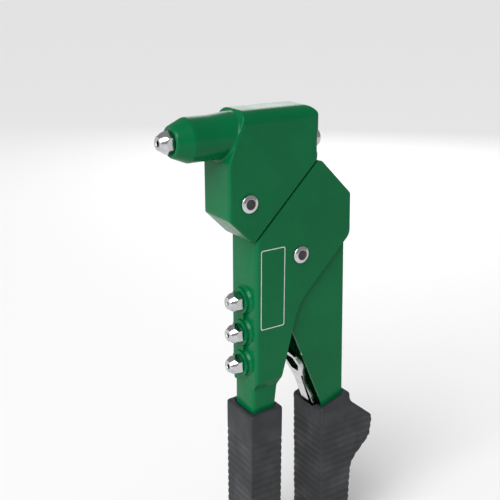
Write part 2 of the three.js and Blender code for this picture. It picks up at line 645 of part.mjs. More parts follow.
function frontGrip() {
  const half = HANDLE.half + GRIP.rubber;
  const front = BODY.front - GRIP.rubber - GAP;
  const rear = BODY.shankX + GRIP.rubber + 1.2;
  const inner = HANDLE.half + GAP;
  const side = outline([
    [front, GRIP.top - 1.5, 1.5], [front + 0.4, GRIP.frontBottom, 3], [rear, GRIP.frontBottom, 3],
    [rear, GRIP.top, 1.5],
  ]);
  const section = outline([
    [-half, -BEYOND * 6], [half, -BEYOND * 6], [half, GRIP.top, 1.5], [5, GRIP.top, 3], [3,
      GRIP.top - 1.2, 3],
    [-3, GRIP.top - 1.2, 3], [-5, GRIP.top, 3], [-half, GRIP.top, 1.5],
  ]);
  return slab(side, -half, half).intersect(bar(section, front - 1, rear + 1))
    .subtract(tower(rectangle(BODY.front - GAP, BODY.shankX + 1.1, -inner, inner), -BEYOND * 6, 0));
}

// ---------------------------------------------------------------- the rear handle

const leverHalf = TOOL_HALF - BODY.wall - LEVER.sideGap;
const leverInner = leverHalf - LEVER.wall;
const forkHalf = leverInner - FORK.sideGap;
const forkTail = new THREE.Vector2(FORK.tailX, FORK.tailZ);

/** The X of the rear handle's back edge at a height. */
function leverBackX(z) {
  return LEVER.crownX + (LEVER.heelX - LEVER.crownX) * (z - LEVER.crownZ) / (LEVER.bottom - LEVER.crownZ);
}

/** The X of the rear handle's front edge at a height below its knee. */
function leverFrontX(z) {
  return LEVER.kneeX + (LEVER.toeX - LEVER.kneeX) * (z - LEVER.kneeZ) / (LEVER.bottom - LEVER.kneeZ);
}

function rearHandleShell() {
  const side = outline([
    [leverPivot.x - LEVER.boss + 0.2, leverPivot.y], [LEVER.noseX, LEVER.noseZ, 10], [LEVER.kneeX,
      LEVER.kneeZ, 8],
    [LEVER.toeX, LEVER.bottom], [LEVER.heelX, LEVER.bottom], [LEVER.crownX, LEVER.crownZ, 4],
    [leverPivot.x + 2, leverPivot.y + LEVER.boss - 0.2],
  ]);
  const low = LEVER.bottom - 2;
  const high = LEVER.crownZ + 20;
  const hollow = outline([
    [-BEYOND, low], [leverBackX(low) - LEVER.wall, low], [leverBackX(high) - LEVER.wall, high],
      [-BEYOND, high],
  ]);
  return slab(side, -leverHalf, leverHalf)
    .add(rod(-leverHalf, leverHalf, LEVER.boss, AXIS_Y, [leverPivot.x, 0, leverPivot.y], 28))
    .subtract(slab(hollow, -leverInner, leverInner))
    .subtract(crossHole(pinHole, leverPivot.x, leverPivot.y))
    .subtract(crossHole(FORK.rivet + GAP, FORK.tailX, FORK.tailZ));
}

function leverFork() {
  const nose = onSwivel(0, FORK.noseAt);
  const relief = [[-8, 3], [-1.4, 0.25], [0, -0.05], [8, -0.05], [8, -9], [-8, -9]].map(([along, above]) => {
    const corner = onSwivel(along, FORK.noseAt - FORK.nose + above);
    return [corner.x, corner.y];
  });
  return slab(link(leverPivot, nose, FORK.boss, FORK.nose), -forkHalf, forkHalf)
    .add(slab(link(leverPivot, forkTail, FORK.boss, FORK.tail), -forkHalf, forkHalf))
    .subtract(swivelBox(-BOLT.radius - FORK.slotFront, FORK.slotRear, FORK.noseAt - FORK.slotLow,
      FORK.noseAt + FORK.slotHigh,
      BOLT.radius + RUN))
    .subtract(slab(outline(relief), -BOLT.nut - GAP, BOLT.nut + GAP))
    .subtract(crossHole(pinHole, leverPivot.x, leverPivot.y))
    .subtract(crossHole(FORK.rivet + GAP, FORK.tailX, FORK.tailZ));
}

// ---------------------------------------------------------------- the wrench for the nosepieces

const wrenchLean = THREE.MathUtils.degToRad(WRENCH.lean);
const wrenchUp = new THREE.Vector3(-Math.sin(wrenchLean), 0, Math.cos(wrenchLean));
const wrenchFace = new THREE.Vector3(Math.cos(wrenchLean), 0, Math.sin(wrenchLean));
const wrenchTurn = new THREE.Matrix4().makeBasis(AXIS_Y, wrenchUp, wrenchFace).setPosition(WRENCH.x, 0,
  WRENCH.z);

/** The wrench in its own frame: across is X, up its shank is Y, and its ring is on the origin. */
function nosepieceWrench() {
  const half = WRENCH.thickness / 2;
  const ring = link(new THREE.Vector2(0, 0), new THREE.Vector2(0, -WRENCH.neckAt), WRENCH.ring, WRENCH.neck);
  const shank = outline([
    [-WRENCH.neck, -2], [-WRENCH.neck, -WRENCH.neckAt], [-WRENCH.shank, -WRENCH.shankAt],
    [-WRENCH.shank, -WRENCH.length, 3], [WRENCH.shank, -WRENCH.length, 3], [WRENCH.shank, -WRENCH.shankAt],
    [WRENCH.neck, -WRENCH.neckAt], [WRENCH.neck, -2],
  ]);
  return tower(ring, -half, half).add(tower(shank, -half, half))
    .subtract(tower(hexagon(WRENCH.hex), -BEYOND, BEYOND));
}

/** The slot in the rear grip that the wrench's shank slides in. */
function wrenchSlot() {
  const half = WRENCH.thickness / 2 + RUN;
  const wide = WRENCH.shank + 0.7;
  const matrix = wrenchTurn.clone().multiply(new THREE.Matrix4().makeTranslation(0, 0, -half));
  return extruded(rectangle(-wide, wide, -WRENCH.length - 3, -WRENCH.neckAt), 2 * half, matrix);
}

function rearGrip() {
  const half = leverHalf + GRIP.rubber;
  const proud = GRIP.rubber + GAP;
  const inner = leverHalf + GAP;
  const bottom = GRIP.rearBottom;
  const side = outline([
    [LEVER.kneeX - proud + 0.3, GRIP.rimFrontZ, 1.5], [leverFrontX(bottom) - proud, bottom, 3],
    [leverBackX(bottom) + proud, bottom, 3], [leverBackX(GUARD.end) + proud + 2, GUARD.end, 12],
    [GUARD.x - 1.5, GUARD.low, 4], [GUARD.x, GUARD.high, 4], [leverBackX(GUARD.top) + proud + 1,
      GUARD.top, 6],
    [leverBackX(GRIP.rimRearZ) + proud, GRIP.rimRearZ, 1.5],
  ]);
  const low = LEVER.bottom - 2;
  const high = LEVER.crownZ;
  const pocket = outline([
    [LEVER.kneeX - GAP - 0.1, LEVER.kneeZ + BEYOND], [LEVER.kneeX - GAP - 0.1, LEVER.kneeZ],
    [leverFrontX(low) - GAP, low], [leverBackX(low) + GAP, low], [leverBackX(high) + GAP, high],
  ]);
  return slab(side, -half, half).subtract(slab(pocket, -inner, inner)).subtract(wrenchSlot());
}

// ---------------------------------------------------------------- the latch

const wireY = leverHalf + GAP + LATCH.wire;
const latchPinReach = wireY + LATCH.wire - LATCH.pinShy;

/** The wire loop that hooks round the rear handle's toe, with an eye at each end. */
function latchBail() {
  const { wire, barX, bend, eye, pin } = LATCH;
  const corner = (side) => arc(new THREE.Vector2(barX - bend, side * (wireY - bend)), bend,
    side < 0 ? -Math.PI / 2 : 0, Math.PI / 2);
  const route = [new THREE.Vector2(LATCH.x, -wireY), ...corner(-1), ...corner(1),
    new THREE.Vector2(LATCH.x, wireY)];
  const path = new THREE.CurvePath();
  route.slice(1).forEach((point, i) => {
    const from = route[i];
    const near = new THREE.Vector3(from.x, from.y, LATCH.z);
    path.add(new THREE.LineCurve3(near, new THREE.Vector3(point.x, point.y, LATCH.z)));
  });
  let bail = null;
  for (const line of path.curves) {
    const run = line.v2.clone().sub(line.v1);
    const length = run.length();
    const piece = turned([
      [-wire, 0], [-wire * 0.7, wire * 0.7], [0, wire], [length, wire], [length + wire * 0.7, wire * 0.7],
      [length + wire, 0],
    ], run.normalize(), line.v1.toArray(), 8);
    bail = bail ? bail.add(piece) : piece;
  }
  for (const side of [-1, 1]) {
    bail = bail.add(rod(side * wireY - wire, side * wireY + wire, eye, AXIS_Y, [LATCH.x, 0, LATCH.z]));
  }
  return bail.subtract(crossHole(pin + GAP, LATCH.x, LATCH.z));
}

// ---------------------------------------------------------------- assembly

const tool = new THREE.Group();
const swivel = new THREE.Group();
swivel.applyMatrix4(swivelTurn);
tool.add(swivel);

add(tool, 'head_housing', ENAMEL, headHousing());
add(tool, 'spring_seat', STEEL, springSeat());
add(tool, 'seat_screw', CHROME, seatScrew());
add(tool, 'return_spring', STEEL, returnSpring());
add(tool, 'bell_crank', BLACKED, bellCrank());
add(tool, 'jaw_case', STEEL, jawCase());
add(tool, 'draw_tube', STEEL, drawTube());
for (const index of [0, 1, 2]) add(tool, `jaw_${index + 1}`, BLACKED, jaw(index));
add(tool, 'jaw_pusher', STEEL, jawPusher());
add(tool, 'jaw_spring', STEEL, jawSpring());

add(tool, 'front_handle_shell', ENAMEL, frontHandleShell());
add(tool, 'front_grip', RUBBER, frontGrip());
add(tool, 'rear_handle_shell', ENAMEL, rearHandleShell());
add(tool, 'rear_grip', RUBBER, rearGrip());
add(tool, 'lever_fork', BLACKED, leverFork());
const rivetReach = leverHalf - FORK.rivetShy;
add(tool, 'fork_rivet', STEEL, rod(-rivetReach, rivetReach, FORK.rivet, AXIS_Y, [FORK.tailX, 0, FORK.tailZ]));
add(tool, 'latch_pin', STEEL, rod(-latchPinReach, latchPinReach, LATCH.pin, AXIS_Y, [LATCH.x, 0, LATCH.z]));
add(tool, 'latch_bail', CHROME, latchBail());

add(tool, 'crank_pin', CHROME, pivotPin()).position.set(crankPivot.x, 0, crankPivot.y);
add(tool, 'handle_pivot_pin', CHROME, pivotPin()).position.set(leverPivot.x, 0, leverPivot.y);

const toFront = new THREE.Quaternion().setFromUnitVectors(AXIS_Z, new THREE.Vector3(-1, 0, 0));
const fitted = add(tool, 'nosepiece', CHROME, nosepiece(BORES.fitted));
fitted.quaternion.copy(toFront);
fitted.position.set(BARREL.front + BARREL.recess - GAP, 0, 0);
['small', 'medium', 'large'].forEach((size, index) => {
  const piece = add(tool, `spare_nosepiece_${size}`, CHROME, nosepiece(BORES[size]));
  piece.quaternion.copy(toFront);
  piece.position.set(BODY.front - SPARES.height - GAP, 0, spareHeight(index));
});

add(swivel, 'swivel_plate', STEEL, swivelPlate());
add(swivel, 'swivel_washer', STEEL, swivelWasher());
add(swivel, 'swivel_bush', STEEL, swivelBush());
add(swivel, 'swivel_nut', BLACKED, swivelNut());
add(swivel, 'draw_bolt', BLACKED, drawBolt());
add(swivel, 'draw_nut', STEEL, drawNut());
add(swivel, 'plate_screw_front', BLACKED, plateScrew()).position.set(-PLATE.screwAt, 0, 0);
add(swivel, 'plate_screw_rear', BLACKED, plateScrew()).position.set(PLATE.screwAt, 0, 0);

add(tool, 'nosepiece_wrench', CHROME, nosepieceWrench()).applyMatrix4(wrenchTurn);

tool.updateMatrixWorld(true);
const box = new THREE.Box3().setFromObject(tool, true);
tool.position.set(-(box.min.x + box.max.x) / 2, -(box.min.y + box.max.y) / 2, -box.min.z);

export default tool;
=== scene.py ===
"""Looks of a hand riveter with a turning head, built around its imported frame.

Lengths in this file are millimetres in the tool's own measure, whose zero is where the nose axis
meets the head's front face: X runs to the back of the tool, Y across it and Z up.
"""

from __future__ import annotations

import json
import logging
import math
from collections.abc import Callable
from dataclasses import dataclass
from enum import Enum
from typing import Any

import bmesh
import bpy
from mathutils import Matrix, Vector

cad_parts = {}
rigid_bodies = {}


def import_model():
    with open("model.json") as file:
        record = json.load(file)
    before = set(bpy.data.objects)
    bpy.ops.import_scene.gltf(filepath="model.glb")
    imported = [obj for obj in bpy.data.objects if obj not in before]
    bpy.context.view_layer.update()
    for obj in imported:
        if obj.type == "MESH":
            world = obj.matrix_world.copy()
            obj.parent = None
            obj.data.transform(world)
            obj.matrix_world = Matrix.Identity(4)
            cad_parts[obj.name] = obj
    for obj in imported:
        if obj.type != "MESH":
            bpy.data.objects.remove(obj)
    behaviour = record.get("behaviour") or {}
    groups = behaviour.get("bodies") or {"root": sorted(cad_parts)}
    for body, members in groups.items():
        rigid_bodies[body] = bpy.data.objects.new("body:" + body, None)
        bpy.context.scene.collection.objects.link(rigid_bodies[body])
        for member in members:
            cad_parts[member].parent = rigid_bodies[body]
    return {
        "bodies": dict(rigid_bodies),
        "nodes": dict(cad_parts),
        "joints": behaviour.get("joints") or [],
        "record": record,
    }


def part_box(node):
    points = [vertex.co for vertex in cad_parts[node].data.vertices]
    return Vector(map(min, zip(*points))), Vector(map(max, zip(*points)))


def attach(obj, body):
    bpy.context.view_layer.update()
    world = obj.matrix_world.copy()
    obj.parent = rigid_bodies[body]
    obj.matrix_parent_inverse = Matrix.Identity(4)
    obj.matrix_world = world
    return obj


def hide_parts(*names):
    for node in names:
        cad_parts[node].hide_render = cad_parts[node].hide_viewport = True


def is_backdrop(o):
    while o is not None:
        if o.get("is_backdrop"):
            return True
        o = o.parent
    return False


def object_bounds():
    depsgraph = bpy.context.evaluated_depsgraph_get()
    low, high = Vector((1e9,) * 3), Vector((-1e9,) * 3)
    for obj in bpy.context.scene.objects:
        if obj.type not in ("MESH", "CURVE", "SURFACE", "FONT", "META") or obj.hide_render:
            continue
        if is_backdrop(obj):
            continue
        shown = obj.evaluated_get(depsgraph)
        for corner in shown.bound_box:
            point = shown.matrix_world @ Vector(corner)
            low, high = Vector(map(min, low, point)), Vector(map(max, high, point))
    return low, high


LOG = logging.getLogger("riveter")
MM = 0.001
TURN = 2 * math.pi
ACROSS = Vector((0, 1, 0))
UP = Vector((0, 0, 1))
FORWARD = Vector((-1, 0, 0))


# ---------------------------------------------------------------- shader values


@dataclass
class Field:
    """A shader value that Python's own operators work on."""

    recipe: "Recipe"
    socket: bpy.types.NodeSocket

    def _maths(self, operation: str, first: Any, second: Any) -> "Field":
        """Adds one Math node.

        Args:
            operation: the Math node's operation.
            first: its first value or field.
            second: its second value or field.

        Returns:
            The node's result.
        """
        return self.recipe.node("ShaderNodeMath", {"operation": operation}, {0: first, 1: second})

    def __add__(self, other: Any) -> "Field":
        """Self plus other."""
        return self._maths("ADD", self, other)

    __radd__ = __add__

    def __rsub__(self, other: Any) -> "Field":
        """Other minus self."""
        return self._maths("SUBTRACT", other, self)

    def __mul__(self, other: Any) -> "Field":
        """Self times other."""
        return self._maths("MULTIPLY", self, other)

    __rmul__ = __mul__


class Recipe:
    """A material's node tree, and the few ways in which nodes are added to it."""

    def __init__(self, name: str) -> None:
        """Starts a material with its one shader.

        Args:
            name: the material's name.
        """
        self.material = bpy.data.materials.new(name)
        self.material.use_nodes = True
        self.tree = self.material.node_tree
        self.shader = self.tree.nodes["Principled BSDF"]

    def feed(self, socket: bpy.types.NodeSocket, value: Any) -> None:
        """Links a field to a socket, or sets the socket to a plain value."""
        if isinstance(value, Field):
            self.tree.links.new(value.socket, socket)
        else:
            socket.default_value = value

    def node(
        self,
        kind: str,
        settings: dict[str, Any] | None = None,
        values: dict[int | str, Any] | None = None,
        output: int | str = 0,
    ) -> Field:
        """Adds a node.

        Args:
            kind: the node's type.
            settings: its own settings, set before its sockets.
            values: what its sockets hold or are fed.
            output: which of its outputs is wanted.

        Returns:
            The wanted output.
        """
        made = self.tree.nodes.new(kind)
        for key, value in (settings or {}).items():
            setattr(made, key, value)
        for key, value in (values or {}).items():
            self.feed(made.inputs[key], value)
        return Field(self, made.outputs[output])

    def set(self, **values: Any) -> None:
        """Sets or feeds the shader's own sockets, named with underscores for spaces."""
        for key, value in values.items():
            self.feed(self.shader.inputs[key.replace("_", " ")], value)

    def place(self) -> Field:
        """The surface's own coordinates, in metres."""
        return self.node("ShaderNodeTexCoord", output="Object")

    def noise(
        self, size: float, detail: float = 2.0, stretch: tuple[float, float, float] = (1, 1, 1)
    ) -> Field:
        """A noise whose blotches are about one size.

        Args:
            size: the size of a blotch, in millimetres.
            detail: how many finer layers it has.
            stretch: how the pattern is squeezed along each axis.

        Returns:
            A value round 0.5.
        """
        spot = self.node("ShaderNodeMapping", values={"Vector": self.place(), "Scale": stretch})
        return self.node(
            "ShaderNodeTexNoise", values={"Vector": spot, "Scale": 1 / (size * MM), "Detail": detail}
        )

    def between(self, value: Field, low: float, high: float) -> Field:
        """A value stretched from its span to the span from 0 to 1, held at its ends."""
        return self.node("ShaderNodeMapRange", None, {0: value, 1: low, 2: high, 3: 0.0, 4: 1.0})

    def blend(self, mask: Any, first: Any, second: Any) -> Field:
        """A colour between two, by a mask."""
        return self.node("ShaderNodeMix", {"data_type": "RGBA"}, {0: mask, 6: first, 7: second}, output=2)

    def bump(self, height: Field, depth: float) -> Field:
        """A normal bent by a height field that is so many millimetres deep."""
        return self.node("ShaderNodeBump", None, {"Height": height, "Distance": depth * MM, "Strength": 1.0})


# ---------------------------------------------------------------- finishes


@dataclass(frozen=True)
class Enamel:
    """Glossy baked enamel over pressed and cast metal."""

    name: str
    color: tuple[float, float, float, float] = (0.0, 0.112, 0.036, 1)
    deep: tuple[float, float, float, float] = (0.0, 0.098, 0.031, 1)
    peel: float = 2.2
    depth: float = 0.006
    roughness: float = 0.24
    handled: float = 0.07
    coat: float = 0.12
    coat_roughness: float = 0.05
    specular: float = 0.08

    def make(self) -> bpy.types.Material:
        """Makes the material: slow colour drift, orange peel and a clear coat."""
        recipe = Recipe(self.name)
        drift = recipe.between(recipe.noise(30, 3), 0.35, 0.65)
        peel = recipe.noise(self.peel, 1)
        handling = recipe.between(recipe.noise(9, 4), 0.42, 0.7)
        recipe.set(
            Base_Color=recipe.blend(drift, self.deep, self.color),
            Roughness=self.roughness + self.handled * handling,
            Normal=recipe.bump(peel, self.depth),
        )
        recipe.set(
            Coat_Weight=self.coat,
            Coat_Roughness=self.coat_roughness,
            Specular_IOR_Level=self.specular,
        )
        return recipe.material


@dataclass(frozen=True)
class Metal:
    """A bare or plated metal."""

    name: str
    color: tuple[float, float, float, float]
    stain: tuple[float, float, float, float]
    roughness: float
    spread: float
    grain: float
    depth: float
    stretch: tuple[float, float, float] = (1, 1, 1)

    def make(self) -> bpy.types.Material:
        """Makes the material: faint staining, uneven polish and the marks of the tool that cut it."""
        recipe = Recipe(self.name)
        wear = recipe.between(recipe.noise(4, 4), 0.4, 0.7)
        grain = recipe.noise(self.grain, 3, self.stretch)
        recipe.set(
            Base_Color=recipe.blend(wear, self.color, self.stain),
            Roughness=self.roughness + self.spread * wear,
            Normal=recipe.bump(grain, self.depth),
        )
        recipe.set(Metallic=1.0)
        return recipe.material


@dataclass(frozen=True)
class Rubber:
    """Moulded rubber with a fine spark-eroded grain."""

    name: str
    color: tuple[float, float, float, float] = (0.012, 0.013, 0.015, 1)
    rubbed: tuple[float, float, float, float] = (0.021, 0.023, 0.026, 1)
    roughness: float = 0.62
    polish: float = 0.14
    grain: float = 0.5
    grain_roughness: float = 0.1
    depth: float = 0.03

    def make(self) -> bpy.types.Material:
        """Makes the material: grain, and patches that handling has rubbed paler."""
        recipe = Recipe(self.name)
        rubbed = recipe.between(recipe.noise(14, 3), 0.45, 0.7)
        grain = recipe.noise(self.grain, 2)
        recipe.set(
            Base_Color=recipe.blend(rubbed, self.color, self.rubbed),
            Roughness=self.roughness - self.polish * rubbed + self.grain_roughness * grain,
            Normal=recipe.bump(grain, self.depth),
        )
        return recipe.material


class Finish(Enum):
    """The finishes of the tool's pieces, by the record's slots and one more for the label."""

    ENAMEL = Enamel("green_enamel")
    CHROME = Metal("bright_chrome", (0.60, 0.60, 0.61, 1), (0.48, 0.48, 0.49, 1), 0.10, 0.12, 1.2, 0.0015)
    STEEL = Metal(
        "turned_steel", (0.50, 0.50, 0.51, 1), (0.38, 0.37, 0.36, 1), 0.28, 0.18, 0.35, 0.004, (5, 1, 1)
    )
    # Blacked steel for the blacked parts; the pin heads' flat centres also use it as a painted reflection.
    BLACKED_AND_PAINTED_REFLECTION = Metal("blacked_steel", (0.055, 0.055, 0.06, 1), (0.10, 0.085, 0.07, 1), 0.38, 0.22, 0.4, 0.01)
    RUBBER = Rubber("moulded_rubber")
    PLATE = Metal("label_silver", (0.72, 0.73, 0.73, 1), (0.6, 0.6, 0.6, 1), 0.25, 0.1, 0.3, 0.002)


SLOT_FINISH = {
    "enamel": Finish.ENAMEL,
    "chrome": Finish.CHROME,
    "steel": Finish.STEEL,
    "blacked_steel": Finish.BLACKED_AND_PAINTED_REFLECTION,
    "rubber": Finish.RUBBER,
}


# ---------------------------------------------------------------- the bench


class Bench:
    """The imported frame, the tool's own measure on it, and the ways in which pieces are made.

    The nose's reach and the weld distances are in millimetres, and the angles in degrees.
    """

    nose_reach = 31.9
    weld = 0.002
    pole_weld = 0.001
    flat_angle = 0.4
    crease = 36
    bevel_steps = 2

    def __init__(self) -> None:
        """Loads the frame and finds the tool's zero from the nosepiece."""
        self.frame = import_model()
        self.cad_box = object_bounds()
        low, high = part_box("nosepiece")
        self.zero = Vector((low[0] + self.nose_reach * MM, 0, (low[2] + high[2]) / 2))
        record = self.frame["record"]
        self.body_of = {node: body for body, nodes in record["behaviour"]["bodies"].items() for node in nodes}
        self.slot_of = {part["node"]: part["material_slot"] for part in record["subparts"]}
        self.materials = {finish: finish.value.make() for finish in Finish}

    def at(self, x: float, y: float, z: float) -> Vector:
        """A place in the tool's measure, in metres of the frame."""
        return self.zero + Vector((x, y, z)) * MM

    def span(self, node: str) -> tuple[Vector, Vector]:
        """A node's lowest and highest corners."""
        low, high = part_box(node)
        return Vector(low), Vector(high)

    def centre(self, node: str) -> Vector:
        """The middle of a node's box."""
        low, high = self.span(node)
        return (low + high) / 2

    def finish(self, piece: bpy.types.Object, finish: Finish, sharp: float = 32) -> None:
        """Dresses a piece and shades it smooth up to an angle.

        Args:
            piece: the piece.
            finish: its finish.
            sharp: edges that turn more than this, in degrees, stay sharp.
        """
        piece.data.materials.clear()
        piece.data.materials.append(self.materials[finish])
        piece.data.shade_smooth()
        piece.data.set_sharp_from_angle(angle=math.radians(sharp))

    def stand_for(self, piece: bpy.types.Object, *nodes: str) -> None:
        """Lets a piece stand for CAD nodes: it rides on their body and takes their slot.

        Args:
            piece: the piece.
            nodes: the CAD nodes, all of one body.
        """
        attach(piece, self.body_of[nodes[0]])
        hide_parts(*nodes)
        LOG.info("%s stands for %s", piece.name, ", ".join(nodes))

    def piece(self, name: str, shape: bmesh.types.BMesh) -> bpy.types.Object:
        """Makes an object from a bmesh and frees the bmesh.

        Args:
            name: the object's name.
            shape: its shape, which can't be used afterwards.

        Returns:
            The object, in the scene.
        """
        mesh = bpy.data.meshes.new(name)
        shape.to_mesh(mesh)
        shape.free()
        made = bpy.data.objects.new(name, mesh)
        bpy.context.scene.collection.objects.link(made)
        return made

    def copy(self, node: str, name: str) -> bpy.types.Object:
        """A merged copy of a CAD node, its flat faces joined up.

        Args:
            node: the CAD node.
            name: the copy's name.

        Returns:
            The copy.
        """
        shape = bmesh.new()
        shape.from_mesh(self.frame["nodes"][node].data)
        bmesh.ops.remove_doubles(shape, verts=shape.verts, dist=self.weld * MM)
        bmesh.ops.dissolve_limit(
            shape,
            angle_limit=math.radians(self.flat_angle),
            verts=shape.verts,
            edges=shape.edges,
            delimit={"NORMAL"},
        )
        made = self.piece(name, shape)
        for layer in ("custom_normal", "sharp_edge", "sharp_face"):
            if layer in made.data.attributes:
                made.data.attributes.remove(made.data.attributes[layer])
        return made

    def bevelled(self, node: str, width: float, name: str | None = None) -> bpy.types.Object:
        """A copy of a CAD node with its sharp edges broken.

        Args:
            node: the CAD node.
            width: how wide each broken edge is, in millimetres.
            name: the piece's name, or the node's own with an ending.

        Returns:
            The dressed piece, standing for the node.
        """
        made = self.copy(node, name or f"{node}_finished")
        self.finish(made, SLOT_FINISH[self.slot_of[node]], sharp=self.crease)
        bevel = made.modifiers.new("broken_edges", "BEVEL")
        bevel.limit_method = "ANGLE"
        bevel.angle_limit = math.radians(self.crease)
        bevel.width = width * MM
        bevel.segments = self.bevel_steps
        bevel.harden_normals = True
        self.stand_for(made, node)
        return made

    def flowed(
        self,
        node: str,
        name: str,
        voxel: float,
        rounds: int,
        carve: Callable[[bpy.types.Mesh], None] | None = None,
    ) -> bpy.types.Object:
        """A copy of a CAD node whose joins and edges run into each other, as in a casting or moulding.

        Args:
            node: the CAD node.
            name: the piece's name.
            voxel: the size of its facets, in millimetres.
            rounds: how many times it is smoothed.
            carve: what moves its points afterwards, if anything does.

        Returns:
            The dressed piece, standing for the node.
        """
        rough = self.copy(node, f"{name}_rough")
        remesh = rough.modifiers.new("even_facets", "REMESH")
        remesh.mode = "VOXEL"
        remesh.voxel_size = voxel * MM
        smooth = rough.modifiers.new("flow", "SMOOTH")
        smooth.factor = 0.5
        smooth.iterations = rounds
        graph = bpy.context.evaluated_depsgraph_get()
        mesh = bpy.data.meshes.new_from_object(rough.evaluated_get(graph))
        bpy.data.objects.remove(rough)
        mesh.name = name
        if carve:
            carve(mesh)
        made = bpy.data.objects.new(name, mesh)
        bpy.context.scene.collection.objects.link(made)
        self.finish(made, SLOT_FINISH[self.slot_of[node]], sharp=60)
        self.stand_for(made, node)
        return made

    def spun(
        self,
        name: str,
        profile: list[tuple[float, float]],
        foot: Vector,
        axis: Vector,
        toward: Vector,
        steps: int = 96,
    ) -> bpy.types.Object:
        """A turned piece.

        Args:
            name: the piece's name.
            profile: places along the axis and radii, in millimetres.
            foot: where the profile's zero is.
            axis: the direction of the axis.
            toward: the direction in which the profile is drawn.
            steps: how many facets go round it.

        Returns:
            The piece.
        """
        shape = bmesh.new()
        rim = [shape.verts.new(foot + (axis * along + toward * radius) * MM) for along, radius in profile]
        edges = [shape.edges.new(pair) for pair in zip(rim, rim[1:])]
        bmesh.ops.spin(
            shape,
            geom=rim + edges,
            cent=foot,
            axis=axis,
            angle=TURN,
            steps=steps,
            use_merge=True,
            use_duplicate=False,
        )
        bmesh.ops.remove_doubles(shape, verts=shape.verts, dist=self.pole_weld * MM)
        bmesh.ops.recalc_face_normals(shape, faces=shape.faces)
        return self.piece(name, shape)


# ---------------------------------------------------------------- the head


@dataclass
class Head:
    """The cast head, its fasteners and what closes its mouth."""

    bench: Bench
    voxel: float = 0.55
    rounds: int = 4
    edge: float = 0.3

    def build(self) -> None:
        """Makes the casting and breaks the edges of the pieces fitted to it."""
        self.bench.flowed("head_housing", "head_casting", self.voxel, self.rounds)
        for node in ("seat_screw", "swivel_plate", "spring_seat"):
            self.bench.bevelled(node, self.edge)


@dataclass
class Pins:
    """The two pins that the levers turn on, with peened heads that are flat in the middle."""

    bench: Bench
    shaft: float = 3.6
    head: float = 4.7
    length: float = 1.3
    face: float = 2.8
    face_depth: float = 0.12
    round_over: float = 0.15
    rim: float = 0.4

    def profile(self, half: float) -> list[tuple[float, float]]:
        """One head's half of the pin, from the middle of the tool outwards.

        Args:
            half: how far from the middle the head's seat is.

        Returns:
            Points of distance along the pin and radius.
        """
        top = half + self.length
        return [
            (0, self.shaft),
            (half, self.shaft),
            (half, self.head - self.round_over),
            (half + self.round_over, self.head),
            (half + self.rim, self.head),
            (half + (self.rim + self.round_over), self.head - 0.1),
            (top - 0.12, self.face + 0.45),
            (top, self.face + 0.2),
            (top, self.face),
            (top - self.face_depth, self.face - 0.05),
            (top - self.face_depth, 0),
        ]

    def face_profile(self, half: float) -> list[tuple[float, float]]:
        """The flat disc in the middle of a head, coloured darker as a painted reflection of its chrome face,
        as points of distance and radius.
        """
        floor = half + self.length - self.face_depth
        top = floor + self.face_depth / 2
        return [(floor - 0.2, 0), (floor - 0.2, self.face - 0.12), (top, self.face - 0.12), (top, 0)]

    def build(self) -> None:
        """Makes both pins, and the flat face of each head, whose darker colour is a painted reflection."""
        for node, body in (("crank_pin", "head"), ("handle_pivot_pin", "front_handle")):
            half = self.bench.span(node)[1].y / MM - self.length
            outward = self.profile(half)
            whole = [(-along, radius) for along, radius in reversed(outward)] + outward[1:]
            pin = self.bench.spun(f"{node}_peened", whole, self.bench.centre(node), ACROSS, UP)
            self.bench.finish(pin, Finish.CHROME, sharp=28)
            self.bench.stand_for(pin, node)
            for side, name in ((-1, "left"), (1, "right")):
                points = [(side * along, radius) for along, radius in self.face_profile(half)]
                face = self.bench.spun(f"{node}_face_{name}", points, self.bench.centre(node), ACROSS, UP)
                # Painted reflection: the blacked-steel disc stands for the dark that the flat chrome centre
                # mirrors.
                self.bench.finish(face, Finish.BLACKED_AND_PAINTED_REFLECTION, sharp=28)
                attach(face, body)
                LOG.info("%s lies in the head of %s", face.name, node)


